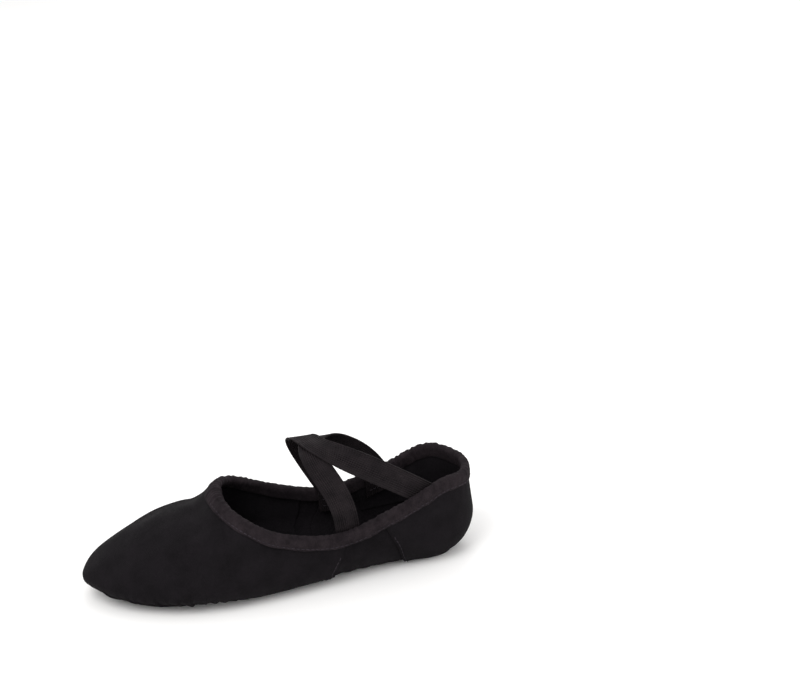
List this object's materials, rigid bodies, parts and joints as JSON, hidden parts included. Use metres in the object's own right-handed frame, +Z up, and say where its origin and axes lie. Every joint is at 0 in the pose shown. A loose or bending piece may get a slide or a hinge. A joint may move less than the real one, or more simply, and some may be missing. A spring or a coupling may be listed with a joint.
{
  "type": "ballet slipper",
  "caption": "Soft split-sole ballet slipper for the left foot, black stretch canvas, with crossed elastic straps and suede sole patches.",
  "frame": {"origin": "middle of the shoe's box, at the bottom of the sole patches", "axes": "+X to the toe, +Y to the outer side of the left foot, +Z up"},
  "size_m": [0.2406, 0.0915, 0.0839],
  "materials": {
    "stretch_canvas": "matte",
    "binding_tape": "matte",
    "strap_elastic": "satin",
    "cord_elastic": "matte",
    "cotton_lining": "matte",
    "sole_suede": "matte",
    "pad_foam": "matte",
    "sewing_thread": "satin"
  },
  "bodies": {
    "forefoot": {"vamp": "stretch_canvas", "vamp_lining": "cotton_lining", "front_sole_patch": "sole_suede", "front_patch_thread": "sewing_thread", "forefoot_pad": "pad_foam", "front_sock": "cotton_lining", "arch_seam_thread": "sewing_thread"},
    "heel": {"arch_panel": "stretch_canvas", "lateral_quarter": "stretch_canvas", "heel_lining": "cotton_lining", "back_seam_tape": "binding_tape", "binding": "binding_tape", "binding_elastic": "cord_elastic", "binding_thread": "sewing_thread", "strap_tabs": "strap_elastic", "strap_tack_threads": "sewing_thread", "heel_sole_patch": "sole_suede", "heel_patch_thread": "sewing_thread", "heel_pad": "pad_foam", "heel_sock": "cotton_lining", "side_seam_thread": "sewing_thread", "back_seam_thread": "sewing_thread"},
    "straps": {"strap_under": "strap_elastic", "strap_over": "strap_elastic"}
  },
  "joints": [
    {"name": "arch_flex", "type": "hinge", "parent": "forefoot", "child": "heel", "pos_m": [-0.0402, 0, 0.028], "axis": [0, 1, 0], "range_deg": [-30, 12], "stiffness_Nm_per_rad": 0.3, "deforming": ["arch_panel", "binding", "binding_elastic", "binding_thread"]},
    {"name": "strap_swing", "type": "hinge", "parent": "heel", "child": "straps", "pos_m": [-0.062, 0.0043, 0.044], "axis": [0, 1, 0], "range_deg": [-20, 25], "stiffness_Nm_per_rad": 0.03, "deforming": ["strap_under", "strap_over"]}
  ]
}
